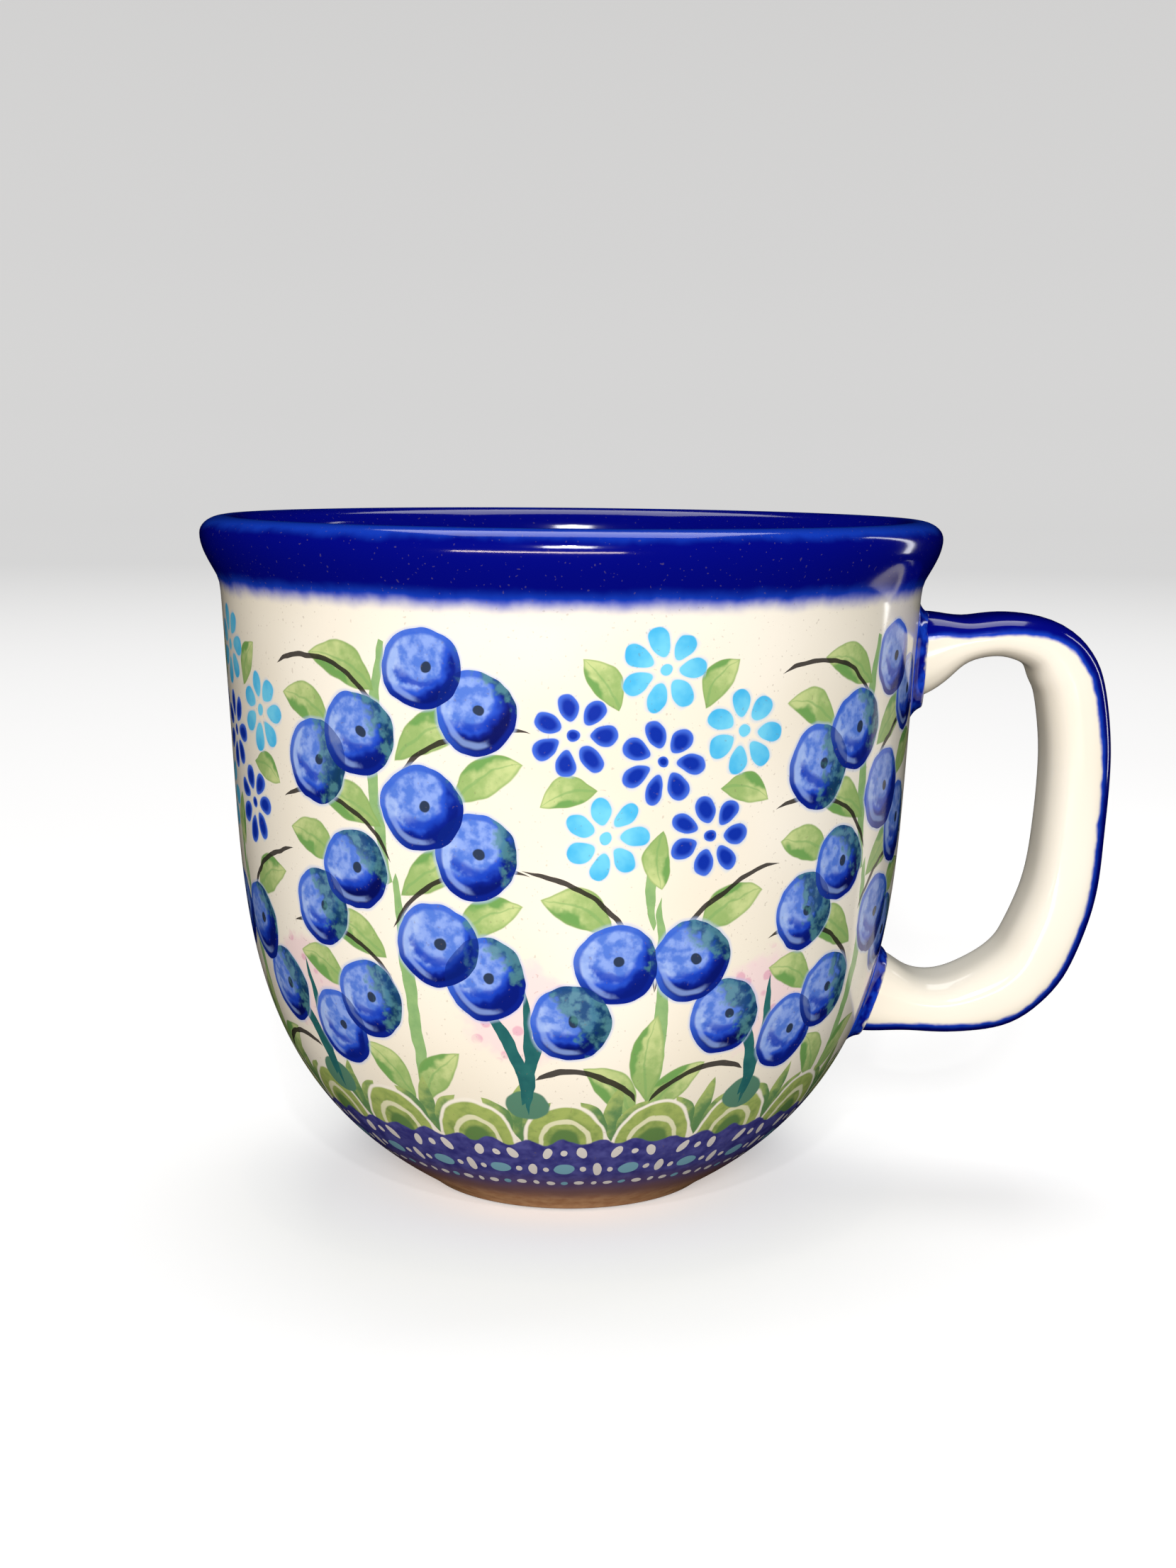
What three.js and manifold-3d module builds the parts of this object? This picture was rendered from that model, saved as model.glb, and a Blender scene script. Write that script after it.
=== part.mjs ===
// Stoneware mug: a round-bellied body with a rolled lip, and a strap handle luted on with slip.
// Units are millimetres and +Z is up. The handle points along +X. The origin is under the middle
// of the mug's bounding box, on the surface that the foot ring stands on.

import * as THREE from 'three';
import { mergeVertices } from 'three/addons/utils/BufferGeometryUtils.js';
import Module from 'manifold-3d';

const wasm = await Module();
wasm.setup();

// Body

const MUG_HEIGHT = 93;
const LIP_RADIUS = 51;           // outermost circle of the rolled lip
const LIP_WIDTH = 7;             // across the lip, from its outer to its inner edge
const LIP_OUTER_ROUNDING = 2.4;  // height of the lip's outer rounding
const LIP_INNER_ROUNDING = 3.4;
const NECK_RADIUS = 48.3;        // the crease where the lip starts to flare
const NECK_DEPTH = 8.7;          // from the top of the lip down to that crease
const BELLY_RADIUS = 47.2;       // where the belly has run out into the straight wall
const BELLY_HEIGHT = 66;
const BELLY_RISE_ANGLE = 30.3;   // degrees above level, where the belly leaves the foot
const BELLY_FULLNESS = 30.1;     // how far the belly keeps that direction
const BELLY_EASE = 26.5;         // how far below its top the belly starts to straighten
const WALL = 5;
const FLOOR_HEIGHT = 6;          // the inside floor, above the table

const FOOT_RADIUS = 20.4;
const FOOT_HEIGHT = 0.6;
const FOOT_RING_WIDTH = 4.5;
const FOOT_RECESS = 1.5;         // how far the underside is hollowed inside the ring
const FOOT_CHAMFER = 0.4;

// Handle, as thicknesses of the strap along its run

const HANDLE_REACH = 70.9;       // centreline of the grip, from the mug's axis
const HANDLE_WIDTH = 15.6;
const UPPER_JOINT_HEIGHT = 74.5;
const LOWER_JOINT_HEIGHT = 26;
const UPPER_JOINT_THICKNESS = 12;
const UPPER_ARM_THICKNESS = 6;
const GRIP_THICKNESS = 9;
const HEEL_THICKNESS = 10;
const LOWER_ARM_THICKNESS = 8;
const LOWER_JOINT_THICKNESS = 11;
const STRAP_SQUARENESS = 3;      // exponent of the strap's rounded section: 2 is an ellipse

// Slip joints

const SLIP_THICKNESS = 1.2;
const SLIP_BEAD = 0.8;           // how far the slip squeezes out around the strap
const CLEARANCE = 0.3;           // gap between touching pieces
const ROOT_DEPTH = 4;            // how far the strap is drawn past the wall before it is cut

// Resolution

const ROUND_SEGMENTS = 72;
const BELLY_STEPS = 12;
const LIP_STEPS = 4;
const SECTION_POINTS = 24;
const HANDLE_RINGS = 46;

const lerp = THREE.MathUtils.lerp;

// The outside of the body, from the top of the foot ring up to the crest of the lip. Points are
// (radius, height).
function outerProfile() {
  const neckHeight = MUG_HEIGHT - NECK_DEPTH;
  const lipHeight = MUG_HEIGHT - LIP_OUTER_ROUNDING;
  const rise = THREE.MathUtils.degToRad(BELLY_RISE_ANGLE);
  const taper = (NECK_RADIUS - BELLY_RADIUS) / (neckHeight - BELLY_HEIGHT);
  const belly = new THREE.CubicBezierCurve(
    new THREE.Vector2(FOOT_RADIUS, FOOT_HEIGHT),
    new THREE.Vector2(
      FOOT_RADIUS + BELLY_FULLNESS * Math.cos(rise),
      FOOT_HEIGHT + BELLY_FULLNESS * Math.sin(rise),
    ),
    new THREE.Vector2(BELLY_RADIUS - BELLY_EASE * taper, BELLY_HEIGHT - BELLY_EASE),
    new THREE.Vector2(BELLY_RADIUS, BELLY_HEIGHT),
  );
  const flare = new THREE.CubicBezierCurve(
    new THREE.Vector2(NECK_RADIUS, neckHeight),
    new THREE.Vector2(lerp(NECK_RADIUS, LIP_RADIUS, 0.5), lerp(neckHeight, lipHeight, 0.38)),
    new THREE.Vector2(LIP_RADIUS, lerp(neckHeight, lipHeight, 0.68)),
    new THREE.Vector2(LIP_RADIUS, lipHeight),
  );
  return [
    ...belly.getPoints(BELLY_STEPS),
    ...flare.getPoints(LIP_STEPS),
    ...lipRounding(LIP_OUTER_ROUNDING, 0, Math.PI / 2).slice(1),
  ];
}

// One side of the rolled lip, as a quarter of an ellipse between two angles.
function lipRounding(rounding, start, end) {
  const half = LIP_WIDTH / 2;
  const quarter = new THREE.EllipseCurve(
    LIP_RADIUS - half, MUG_HEIGHT - rounding, half, rounding, start, end,
  );
  return quarter.getPoints(LIP_STEPS);
}

// A profile moved sideways by a distance, to its right as it is followed.
function offsetProfile(points, distance) {
  return points.map((point, i) => {
    const before = points[Math.max(i - 1, 0)];
    const after = points[Math.min(i + 1, points.length - 1)];
    const along = after.clone().sub(before).normalize();
    return new THREE.Vector2(point.x + along.y * distance, point.y - along.x * distance);
  });
}

// The inside of the body, from the lip's crest down to the middle of the floor.
function innerProfile(outer) {
  const neckHeight = MUG_HEIGHT - NECK_DEPTH;
  const wall = offsetProfile(outer.filter((point) => point.y < neckHeight), -WALL);
  const floorBlend = FLOOR_HEIGHT + WALL / 2;
  const standing = wall.filter((point) => point.y > floorBlend);
  const [low, next] = standing;
  const slope = (next.x - low.x) / (next.y - low.y);
  const corner = new THREE.Vector2(low.x - slope * (low.y - FLOOR_HEIGHT), FLOOR_HEIGHT);
  const floorStart = new THREE.Vector2(corner.x - low.distanceTo(corner), FLOOR_HEIGHT);
  const floor = new THREE.QuadraticBezierCurve(low, corner, floorStart).getPoints(LIP_STEPS);
  return [
    ...lipRounding(LIP_INNER_ROUNDING, Math.PI / 2, Math.PI).slice(1),
    ...standing.slice(1).reverse(),
    ...floor,
    new THREE.Vector2(0, FLOOR_HEIGHT),
  ];
}

// The underside, from the middle of the hollow out to the foot ring's outer edge.
function footProfile() {
  const inner = FOOT_RADIUS - FOOT_RING_WIDTH;
  return [
    new THREE.Vector2(0, FOOT_RECESS),
    new THREE.Vector2(inner - FOOT_RECESS, FOOT_RECESS),
    new THREE.Vector2(inner, 0),
    new THREE.Vector2(FOOT_RADIUS - FOOT_CHAMFER, 0),
    new THREE.Vector2(FOOT_RADIUS, FOOT_CHAMFER),
  ];
}

// A closed manifold solid from a geometry whose faces meet point to point.
function solidFrom(geometry) {
  geometry.deleteAttribute('normal');
  geometry.deleteAttribute('uv');
  const merged = mergeVertices(geometry);
  const corners = merged.index.array;
  const triangles = [];
  for (let i = 0; i < corners.length; i += 3) {
    const [a, b, c] = corners.slice(i, i + 3);
    if (a !== b && b !== c && c !== a) {
      triangles.push(a, b, c);
    }
  }
  return new wasm.Manifold(new wasm.Mesh({
    numProp: 3,
    vertProperties: merged.attributes.position.array,
    triVerts: new Uint32Array(triangles),
  }));
}

// A profile turned about the mug's axis.
function turned(profile) {
  const geometry = new THREE.LatheGeometry(profile, ROUND_SEGMENTS);
  geometry.rotateX(Math.PI / 2);
  return solidFrom(geometry);
}

// The space inside the body's outer surface, grown by a distance: it cuts what meets the wall.
function grownBody(outer, distance) {
  const wall = offsetProfile(outer, distance);
  const base = wall[0].y;
  const top = MUG_HEIGHT + distance;
  return turned([new THREE.Vector2(0, base), ...wall, new THREE.Vector2(0, top)]);
}

// The radius of the body's outer wall at a height.
function wallRadius(outer, height) {
  const above = outer.findIndex((point) => point.y >= height);
  const low = outer[above - 1];
  const high = outer[above];
  return lerp(low.x, high.x, (height - low.y) / (high.y - low.y));
}

// The strap's centreline in the XZ plane. A point's y holds half of the strap's thickness there, so
// that the thickness is eased along with the line.
function strapLine(outer) {
  const upperWall = wallRadius(outer, UPPER_JOINT_HEIGHT);
  const lowerWall = wallRadius(outer, LOWER_JOINT_HEIGHT);
  const drop = UPPER_JOINT_HEIGHT - LOWER_JOINT_HEIGHT;
  const station = (x, z, thickness) => new THREE.Vector3(x, thickness / 2, z);
  const upper = (out, up, thickness) => station(
    lerp(upperWall, HANDLE_REACH, out), UPPER_JOINT_HEIGHT + up, thickness,
  );
  const grip = (back, down, thickness) => station(
    HANDLE_REACH - back, UPPER_JOINT_HEIGHT - drop * down, thickness,
  );
  const lower = (out, up, thickness) => station(
    lerp(lowerWall, HANDLE_REACH, out), LOWER_JOINT_HEIGHT + up, thickness,
  );
  const shoulder = (UPPER_ARM_THICKNESS + GRIP_THICKNESS) / 2;
  const upperFlare = (UPPER_JOINT_THICKNESS + UPPER_ARM_THICKNESS) / 2;
  return new THREE.CatmullRomCurve3([
    station(upperWall - ROOT_DEPTH, UPPER_JOINT_HEIGHT - 1.5, UPPER_JOINT_THICKNESS + 2),
    upper(0, 0.1, UPPER_JOINT_THICKNESS),
    upper(0.17, 1.5, upperFlare),
    upper(0.31, 2.2, UPPER_ARM_THICKNESS),
    upper(0.54, 2.8, UPPER_ARM_THICKNESS),
    upper(0.78, 1.4, shoulder),
    grip(2.6, 0.03, GRIP_THICKNESS),
    grip(1.1, 0.1, GRIP_THICKNESS),
    grip(0, 0.28, GRIP_THICKNESS),
    grip(0.4, 0.5, GRIP_THICKNESS),
    grip(1.5, 0.69, (GRIP_THICKNESS + HEEL_THICKNESS) / 2),
    grip(4.5, 0.86, HEEL_THICKNESS),
    grip(6.9, 0.93, HEEL_THICKNESS),
    lower(0.63, 0.6, HEEL_THICKNESS),
    lower(0.41, -1.1, LOWER_ARM_THICKNESS),
    lower(0.22, -0.9, LOWER_ARM_THICKNESS),
    lower(0.06, 0.2, LOWER_JOINT_THICKNESS),
    station(lowerWall - ROOT_DEPTH, LOWER_JOINT_HEIGHT + 2, LOWER_JOINT_THICKNESS + 3),
  ]);
}

// A strap of rounded section along the line, its section grown all round by a distance.
function strap(line, growth) {
  const positions = [];
  const indices = [];
  const power = 2 / STRAP_SQUARENESS;
  for (let ring = 0; ring < HANDLE_RINGS; ring++) {
    const t = ring / (HANDLE_RINGS - 1);
    const middle = line.getPoint(t);
    const along = line.getTangent(t).setY(0).normalize();
    const halfThickness = middle.y + growth;
    const halfWidth = HANDLE_WIDTH / 2 + growth;
    for (let i = 0; i < SECTION_POINTS; i++) {
      const angle = (2 * Math.PI * i) / SECTION_POINTS;
      const out = Math.sign(Math.cos(angle)) * Math.abs(Math.cos(angle)) ** power * halfThickness;
      const across = Math.sign(Math.sin(angle)) * Math.abs(Math.sin(angle)) ** power * halfWidth;
      positions.push(middle.x - along.z * out, across, middle.z + along.x * out);
    }
  }
  for (let ring = 0; ring < HANDLE_RINGS - 1; ring++) {
    for (let i = 0; i < SECTION_POINTS; i++) {
      const a = ring * SECTION_POINTS + i;
      const b = ring * SECTION_POINTS + ((i + 1) % SECTION_POINTS);
      indices.push(a, a + SECTION_POINTS, b, b, a + SECTION_POINTS, b + SECTION_POINTS);
    }
  }
  const last = (HANDLE_RINGS - 1) * SECTION_POINTS;
  for (let i = 1; i < SECTION_POINTS - 1; i++) {
    indices.push(0, i, i + 1, last, last + i + 1, last + i);
  }
  const geometry = new THREE.BufferGeometry();
  geometry.setAttribute('position', new THREE.Float32BufferAttribute(positions, 3));
  geometry.setIndex(indices);
  return solidFrom(geometry);
}

// The half of space above or below a height, wide enough for the whole mug.
function halfSpace(height, up) {
  const reach = 4 * (HANDLE_REACH + MUG_HEIGHT);
  const box = new THREE.BoxGeometry(reach, reach, reach);
  box.translate(0, 0, height + (up ? reach : -reach) / 2);
  return solidFrom(box);
}

function pieceMesh(name, solid, material) {
  const { vertProperties, triVerts } = solid.getMesh();
  const geometry = new THREE.BufferGeometry();
  geometry.setAttribute('position', new THREE.BufferAttribute(vertProperties, 3));
  geometry.setIndex(new THREE.BufferAttribute(triVerts, 1));
  geometry.computeVertexNormals();
  const mesh = new THREE.Mesh(geometry, material);
  mesh.name = name;
  return mesh;
}

const glazedBody = new THREE.MeshStandardMaterial({ color: 0xe4ded0, roughness: 0.12, metalness: 0 });
const glazedHandle = new THREE.MeshStandardMaterial({ color: 0xe8e3d8, roughness: 0.12, metalness: 0 });
const cobaltSlip = new THREE.MeshStandardMaterial({ color: 0x101a78, roughness: 0.15, metalness: 0 });

const outer = outerProfile();
const line = strapLine(outer);
const middleHeight = (UPPER_JOINT_HEIGHT + LOWER_JOINT_HEIGHT) / 2;

const slipStart = grownBody(outer, CLEARANCE);
const slipEnd = grownBody(outer, CLEARANCE + SLIP_THICKNESS);
const strapStart = grownBody(outer, 2 * CLEARANCE + SLIP_THICKNESS);
const slip = strap(line, SLIP_BEAD).intersect(slipEnd).subtract(slipStart);

const body = turned([...footProfile(), ...outer, ...innerProfile(outer)]);
const handle = strap(line, 0).subtract(strapStart);
const upperSlip = slip.intersect(halfSpace(middleHeight, true));
const lowerSlip = slip.intersect(halfSpace(middleHeight, false));

const mug = new THREE.Group();
mug.add(pieceMesh('body', body, glazedBody));
mug.add(pieceMesh('handle', handle, glazedHandle));
mug.add(pieceMesh('upper_slip_joint', upperSlip, cobaltSlip));
mug.add(pieceMesh('lower_slip_joint', lowerSlip, cobaltSlip));

const bounds = new THREE.Box3().setFromObject(mug);
mug.position.x = -(bounds.min.x + bounds.max.x) / 2;

export default mug;
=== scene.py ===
import math

import bpy
from mathutils import Matrix, Vector


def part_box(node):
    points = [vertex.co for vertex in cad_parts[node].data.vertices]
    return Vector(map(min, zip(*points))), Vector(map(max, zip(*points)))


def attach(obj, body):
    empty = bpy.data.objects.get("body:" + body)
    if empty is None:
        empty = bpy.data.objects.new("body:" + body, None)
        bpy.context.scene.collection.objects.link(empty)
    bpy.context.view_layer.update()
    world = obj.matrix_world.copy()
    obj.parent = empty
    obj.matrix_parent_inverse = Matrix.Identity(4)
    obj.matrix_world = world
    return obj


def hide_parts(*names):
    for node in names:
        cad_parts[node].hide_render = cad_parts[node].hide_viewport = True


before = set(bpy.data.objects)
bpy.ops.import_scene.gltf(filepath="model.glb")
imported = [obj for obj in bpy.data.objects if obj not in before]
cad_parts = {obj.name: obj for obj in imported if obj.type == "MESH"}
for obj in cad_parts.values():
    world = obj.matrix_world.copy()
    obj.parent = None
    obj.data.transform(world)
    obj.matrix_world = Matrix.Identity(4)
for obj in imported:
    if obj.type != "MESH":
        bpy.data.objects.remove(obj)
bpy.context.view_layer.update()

# Lengths are in millimetres until MM turns them into metres.
MM = 0.001
body_low, body_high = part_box("body")
MUG_X = (body_low.x + body_high.x) / 2 / MM
LIP_RADIUS = (body_high.y - body_low.y) / 2 / MM
MUG_HEIGHT = body_high.z / MM

# Body
LIP_WIDTH = 7
LIP_OUTER_ROUNDING = 2.4
LIP_INNER_ROUNDING = 3.4
NECK_RADIUS = 48.3
NECK_HEIGHT = MUG_HEIGHT - 8.7
BELLY_RADIUS = 47.2
BELLY_HEIGHT = 66
WALL = 5
FLOOR_HEIGHT = 6
FOOT_RADIUS = 20.4
FOOT_HEIGHT = 0.6
FOOT_RING_WIDTH = 4.5
FOOT_RECESS = 1.5
AROUND = 96
# Where the belly's and the lip's curves head for, as radius and height
FOOT_SWELL = (46.39, 15.79)
BELLY_RISE = (45.61, 39.5)
NECK_FLARE = (49.65, 86.69)
LIP_TURN = (LIP_RADIUS, 88.58)
BELLY_STEPS = 26
LIP_STEPS = 5

# Handle
handle_low, handle_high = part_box("handle")
STRAP_WIDTH = (handle_high.y - handle_low.y) / MM
UPPER_JOINT_HEIGHT = 74.5
LOWER_JOINT_HEIGHT = 26
UPPER_JOINT_THICKNESS = 12
UPPER_ARM_THICKNESS = 6
GRIP_THICKNESS = 9
HEEL_THICKNESS = 10
LOWER_ARM_THICKNESS = 8
LOWER_JOINT_THICKNESS = 11
HANDLE_REACH = handle_high.x / MM - MUG_X - GRIP_THICKNESS / 2
ROOT_DEPTH = 3
STRAP_RINGS = 54

# The decoration is laid out on the unrolled wall: across from the front, and up the wall
ROUND = 2 * math.pi * BELLY_RADIUS
HANDLE_ACROSS = ROUND / 4


def deselect():
    """Back to object mode, with nothing selected."""
    if bpy.context.mode != "OBJECT":
        bpy.ops.object.mode_set(mode="OBJECT")
    bpy.ops.object.select_all(action="DESELECT")


def finish_modifiers(piece):
    """Applies the piece's modifiers."""
    for modifier in list(piece.modifiers):
        bpy.ops.object.modifier_apply(modifier=modifier.name)


def place_in_mesh(piece):
    bpy.ops.object.transform_apply(location=True, rotation=True, scale=True)
    piece.data.update()


def bezier(start, first, second, end, steps):
    """Points along a curve, after its start."""
    points = []
    for step in range(1, steps + 1):
        t = step / steps
        weights = ((1 - t) ** 3, 3 * (1 - t) ** 2 * t, 3 * (1 - t) * t * t, t ** 3)
        ends = (start, first, second, end)
        points.append(tuple(sum(w * p[axis] for w, p in zip(weights, ends)) for axis in (0, 1)))
    return points


def quarter(centre, across, up, turn, steps):
    """Points on a quarter of an ellipse, from turn degrees to 90 degrees further."""
    angles = [math.radians(turn + 90 * step / steps) for step in range(1, steps + 1)]
    return [(centre[0] + across * math.cos(a), centre[1] + up * math.sin(a)) for a in angles]


def set_back(points, depth):
    """The points moved inwards, square to the line that they make."""
    moved = []
    for before, here, after in zip(points, points[1:], points[2:]):
        along = Vector((after[0] - before[0], after[1] - before[1])).normalized()
        moved.append((here[0] - along.y * depth, here[1] + along.x * depth))
    return moved


def body_outline():
    """The turned outline: under the foot, up the outside, over the lip and down the inside."""
    ring_inside = FOOT_RADIUS - FOOT_RING_WIDTH
    underside = [(1.2, FOOT_RECESS), (ring_inside - 3, FOOT_RECESS), (ring_inside - 1.5, FOOT_RECESS)]
    underside += [(ring_inside - 0.5, 0.5), (ring_inside, 0.1), (ring_inside + 0.6, 0)]
    underside += [(FOOT_RADIUS - 1.2, 0), (FOOT_RADIUS - 0.35, 0.06)]
    outside = [(FOOT_RADIUS, FOOT_HEIGHT)]
    outside += bezier(outside[0], FOOT_SWELL, BELLY_RISE, (BELLY_RADIUS, BELLY_HEIGHT), BELLY_STEPS)
    for step in range(1, 7):
        rise = step / 6
        outside.append((
            BELLY_RADIUS + rise * (NECK_RADIUS - BELLY_RADIUS),
            BELLY_HEIGHT + rise * (NECK_HEIGHT - BELLY_HEIGHT),
        ))
    crest = LIP_RADIUS - LIP_WIDTH / 2
    shoulder = MUG_HEIGHT - LIP_OUTER_ROUNDING
    lip = bezier((NECK_RADIUS, NECK_HEIGHT), NECK_FLARE, LIP_TURN, (LIP_RADIUS, shoulder), LIP_STEPS)
    lip += quarter((crest, shoulder), LIP_WIDTH / 2, LIP_OUTER_ROUNDING, 0, 5)
    inner = MUG_HEIGHT - LIP_INNER_ROUNDING
    lip += quarter((crest, inner), LIP_WIDTH / 2, LIP_INNER_ROUNDING, 90, 5)
    inside = [p for p in set_back(outside, WALL) if p[1] > FLOOR_HEIGHT + 5][::-1]
    inside = [p for p in inside if p[1] < NECK_HEIGHT - 1]
    corner = inside[-1]
    inside += bezier(corner, (corner[0] - 2.6, corner[1] - 3), (corner[0] - 6, FLOOR_HEIGHT),
                     (corner[0] - 11, FLOOR_HEIGHT), 5)
    inside += [(6, FLOOR_HEIGHT), (1.2, FLOOR_HEIGHT)]
    return underside, outside, lip, inside


def climb(points, level):
    """The length along the outline up to each point, set to equal the height at the level."""
    lengths = [0]
    for here, after in zip(points, points[1:]):
        lengths.append(lengths[-1] + math.dist(here, after))
    near = min(range(len(points)), key=lambda i: abs(points[i][1] - level))
    shift = points[near][1] - lengths[near]
    return [length + shift for length in lengths]


def select_ring(mesh, first, last):
    """Selects the vertices in a range."""
    for vertex in mesh.vertices:
        vertex.select = first <= vertex.index < last


def turn_body():
    """The body, turned ring by ring from under the foot, up the outside and down the inside."""
    underside, outside, lip, inside = body_outline()
    outline = underside + outside + lip + inside
    up_wall = climb(outside + lip + inside, 60)
    below = [up_wall[0] - math.dist(outline[i], outline[len(underside)]) for i in range(len(underside))]
    heights = below + up_wall
    deselect()
    radius, height = outline[0]
    bpy.ops.mesh.primitive_circle_add(
        vertices=AROUND, radius=radius * MM, location=(MUG_X * MM, 0, height * MM))
    piece = bpy.context.object
    piece.name = piece.data.name = "mug_body"
    place_in_mesh(piece)
    bpy.ops.object.mode_set(mode="EDIT")
    bpy.ops.mesh.select_all(action="SELECT")
    for (radius, height), (next_radius, next_height) in zip(outline, outline[1:]):
        lift = (0, 0, (next_height - height) * MM)
        bpy.ops.mesh.extrude_edges_move(TRANSFORM_OT_translate={"value": lift})
        grow = next_radius / radius
        bpy.ops.transform.resize(value=(grow, grow, 1), center_override=(MUG_X * MM, 0, next_height * MM))
    bpy.ops.object.mode_set(mode="OBJECT")
    unroll_body(piece, heights)
    lay_out_bake(piece)
    last = len(outline) - 1
    for ring in (last, 0):
        bpy.ops.object.mode_set(mode="EDIT")
        bpy.ops.mesh.select_all(action="DESELECT")
        bpy.ops.object.mode_set(mode="OBJECT")
        select_ring(piece.data, ring * AROUND, (ring + 1) * AROUND)
        bpy.ops.object.mode_set(mode="EDIT")
        bpy.ops.mesh.merge(type="CENTER")
    bpy.ops.mesh.select_all(action="SELECT")
    bpy.ops.mesh.normals_make_consistent(inside=False)
    bpy.ops.object.mode_set(mode="OBJECT")
    smooth = piece.modifiers.new("throwing", "SUBSURF")
    smooth.levels = smooth.render_levels = 1
    finish_modifiers(piece)
    bpy.ops.object.shade_smooth()
    return piece


def unroll_body(piece, heights):
    """The wall unrolled in millimetres, cut behind the handle, for the painter."""
    mesh = piece.data
    sheet = mesh.uv_layers.new(name="Unrolled")
    for face in mesh.polygons:
        middle = wall_place(face.center)
        for corner in face.loop_indices:
            vertex = mesh.vertices[mesh.loops[corner].vertex_index]
            place = wall_place(vertex.co)
            if place - middle > ROUND / 2:
                place -= ROUND
            if middle - place > ROUND / 2:
                place += ROUND
            sheet.data[corner].uv = (place, heights[vertex.index // AROUND])


def wall_place(point):
    """How far round the unrolled wall a point lies, from the middle of the mug's front."""
    angle = math.atan2(point.x - MUG_X * MM, -point.y)
    place = angle * BELLY_RADIUS
    return place - ROUND if place > HANDLE_ACROSS + 0.01 else place


def lay_out_bake(piece):
    """The same wall folded into a square: two halves of the outside above the lip and the inside."""
    mesh = piece.data
    rolled = mesh.uv_layers["Unrolled"]
    folded = mesh.uv_layers.new(name="OFBake")
    margin = 0.004
    # Heights on the unrolled outline: under the foot, the foot, the lip and the middle of the floor
    lowest, foot, outside_top, highest = -45, -12, 94, 190
    overlap = 2
    # Rows of the square, from 0 to 1: the two halves of the outside, the inside and the underside
    right_row, left_row, inside_row, under_row = (0, 0.42), (0.42, 0.84), (0.84, 0.96), (0.96, 1)
    for face in mesh.polygons:
        corners = [rolled.data[corner].uv for corner in face.loop_indices]
        middle = sum((corner for corner in corners), Vector((0, 0))) / len(corners)
        right = middle.x > HANDLE_ACROSS - ROUND / 2
        painted = foot < middle.y < outside_top
        for corner, flat in zip(face.loop_indices, corners):
            side = (flat.x - HANDLE_ACROSS) / ROUND + 1
            if painted:
                part = (side - 0.5) * 2 if right else side * 2
                rise = (flat.y - foot + overlap) / (outside_top - foot + 2 * overlap)
                row = right_row if right else left_row
            else:
                part = side
                above = middle.y > 0
                bottom, top = (outside_top - overlap, highest) if above else (lowest, foot + overlap)
                rise = (flat.y - bottom) / (top - bottom)
                row = inside_row if above else under_row
            spread = margin + part * (1 - 2 * margin)
            climbed = row[0] + margin / 2 + rise * (row[1] - row[0] - margin)
            folded.data[corner].uv = (spread, climbed)


# Handle

def smooth_line(stations, count):
    """Points on a smooth line through the stations, evenly spaced."""
    dense = []
    steps = 40
    for index in range(len(stations) - 1):
        around = [stations[min(max(index + shift, 0), len(stations) - 1)] for shift in (-1, 0, 1, 2)]
        for step in range(steps):
            t = step / steps
            a, b, c, d = (Vector(station) for station in around)
            dense.append(
                b + (c - a) * (t / 2) + (2 * a - 5 * b + 4 * c - d) * (t * t / 2)
                + (3 * b - a - 3 * c + d) * (t ** 3 / 2)
            )
    dense.append(Vector(stations[-1]))
    lengths = [0]
    for here, after in zip(dense, dense[1:]):
        lengths.append(lengths[-1] + (after - here).xy.length)
    points = []
    for number in range(count):
        goal = lengths[-1] * number / (count - 1)
        near = min(range(len(dense)), key=lambda i: abs(lengths[i] - goal))
        points.append(dense[near])
    return points


def strap_stations():
    """Distance from the mug's axis, height and thickness of the strap, from the upper joint down."""
    outside = body_outline()[1]
    upper_wall = wall_at(outside, UPPER_JOINT_HEIGHT)[0]
    lower_wall = wall_at(outside, LOWER_JOINT_HEIGHT)[0]
    drop = UPPER_JOINT_HEIGHT - LOWER_JOINT_HEIGHT

    def upper(out, up, thickness):
        return upper_wall + (HANDLE_REACH - upper_wall) * out, UPPER_JOINT_HEIGHT + up, thickness

    def grip(back, down, thickness):
        return HANDLE_REACH - back, UPPER_JOINT_HEIGHT - drop * down, thickness

    def lower(out, up, thickness):
        return lower_wall + (HANDLE_REACH - lower_wall) * out, LOWER_JOINT_HEIGHT + up, thickness

    return (
        (upper_wall - ROOT_DEPTH, UPPER_JOINT_HEIGHT - 0.4, UPPER_JOINT_THICKNESS + 1),
        upper(0, 0.1, UPPER_JOINT_THICKNESS),
        upper(0.17, 1.5, (UPPER_JOINT_THICKNESS + UPPER_ARM_THICKNESS) / 2),
        upper(0.31, 2.2, UPPER_ARM_THICKNESS),
        upper(0.54, 2.8, UPPER_ARM_THICKNESS),
        upper(0.78, 1.4, (UPPER_ARM_THICKNESS + GRIP_THICKNESS) / 2),
        grip(2.6, 0.03, GRIP_THICKNESS),
        grip(1.1, 0.1, GRIP_THICKNESS),
        grip(0, 0.28, GRIP_THICKNESS),
        grip(0.4, 0.5, GRIP_THICKNESS),
        grip(1.5, 0.69, (GRIP_THICKNESS + HEEL_THICKNESS) / 2),
        grip(4.5, 0.86, HEEL_THICKNESS),
        grip(6.9, 0.93, HEEL_THICKNESS),
        lower(0.63, 0.6, HEEL_THICKNESS),
        lower(0.41, -1.1, LOWER_ARM_THICKNESS),
        lower(0.22, -0.9, LOWER_ARM_THICKNESS),
        lower(0.06, 0.2, LOWER_JOINT_THICKNESS),
        (lower_wall - ROOT_DEPTH, LOWER_JOINT_HEIGHT + 1.3, LOWER_JOINT_THICKNESS + 1),
    )


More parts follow.
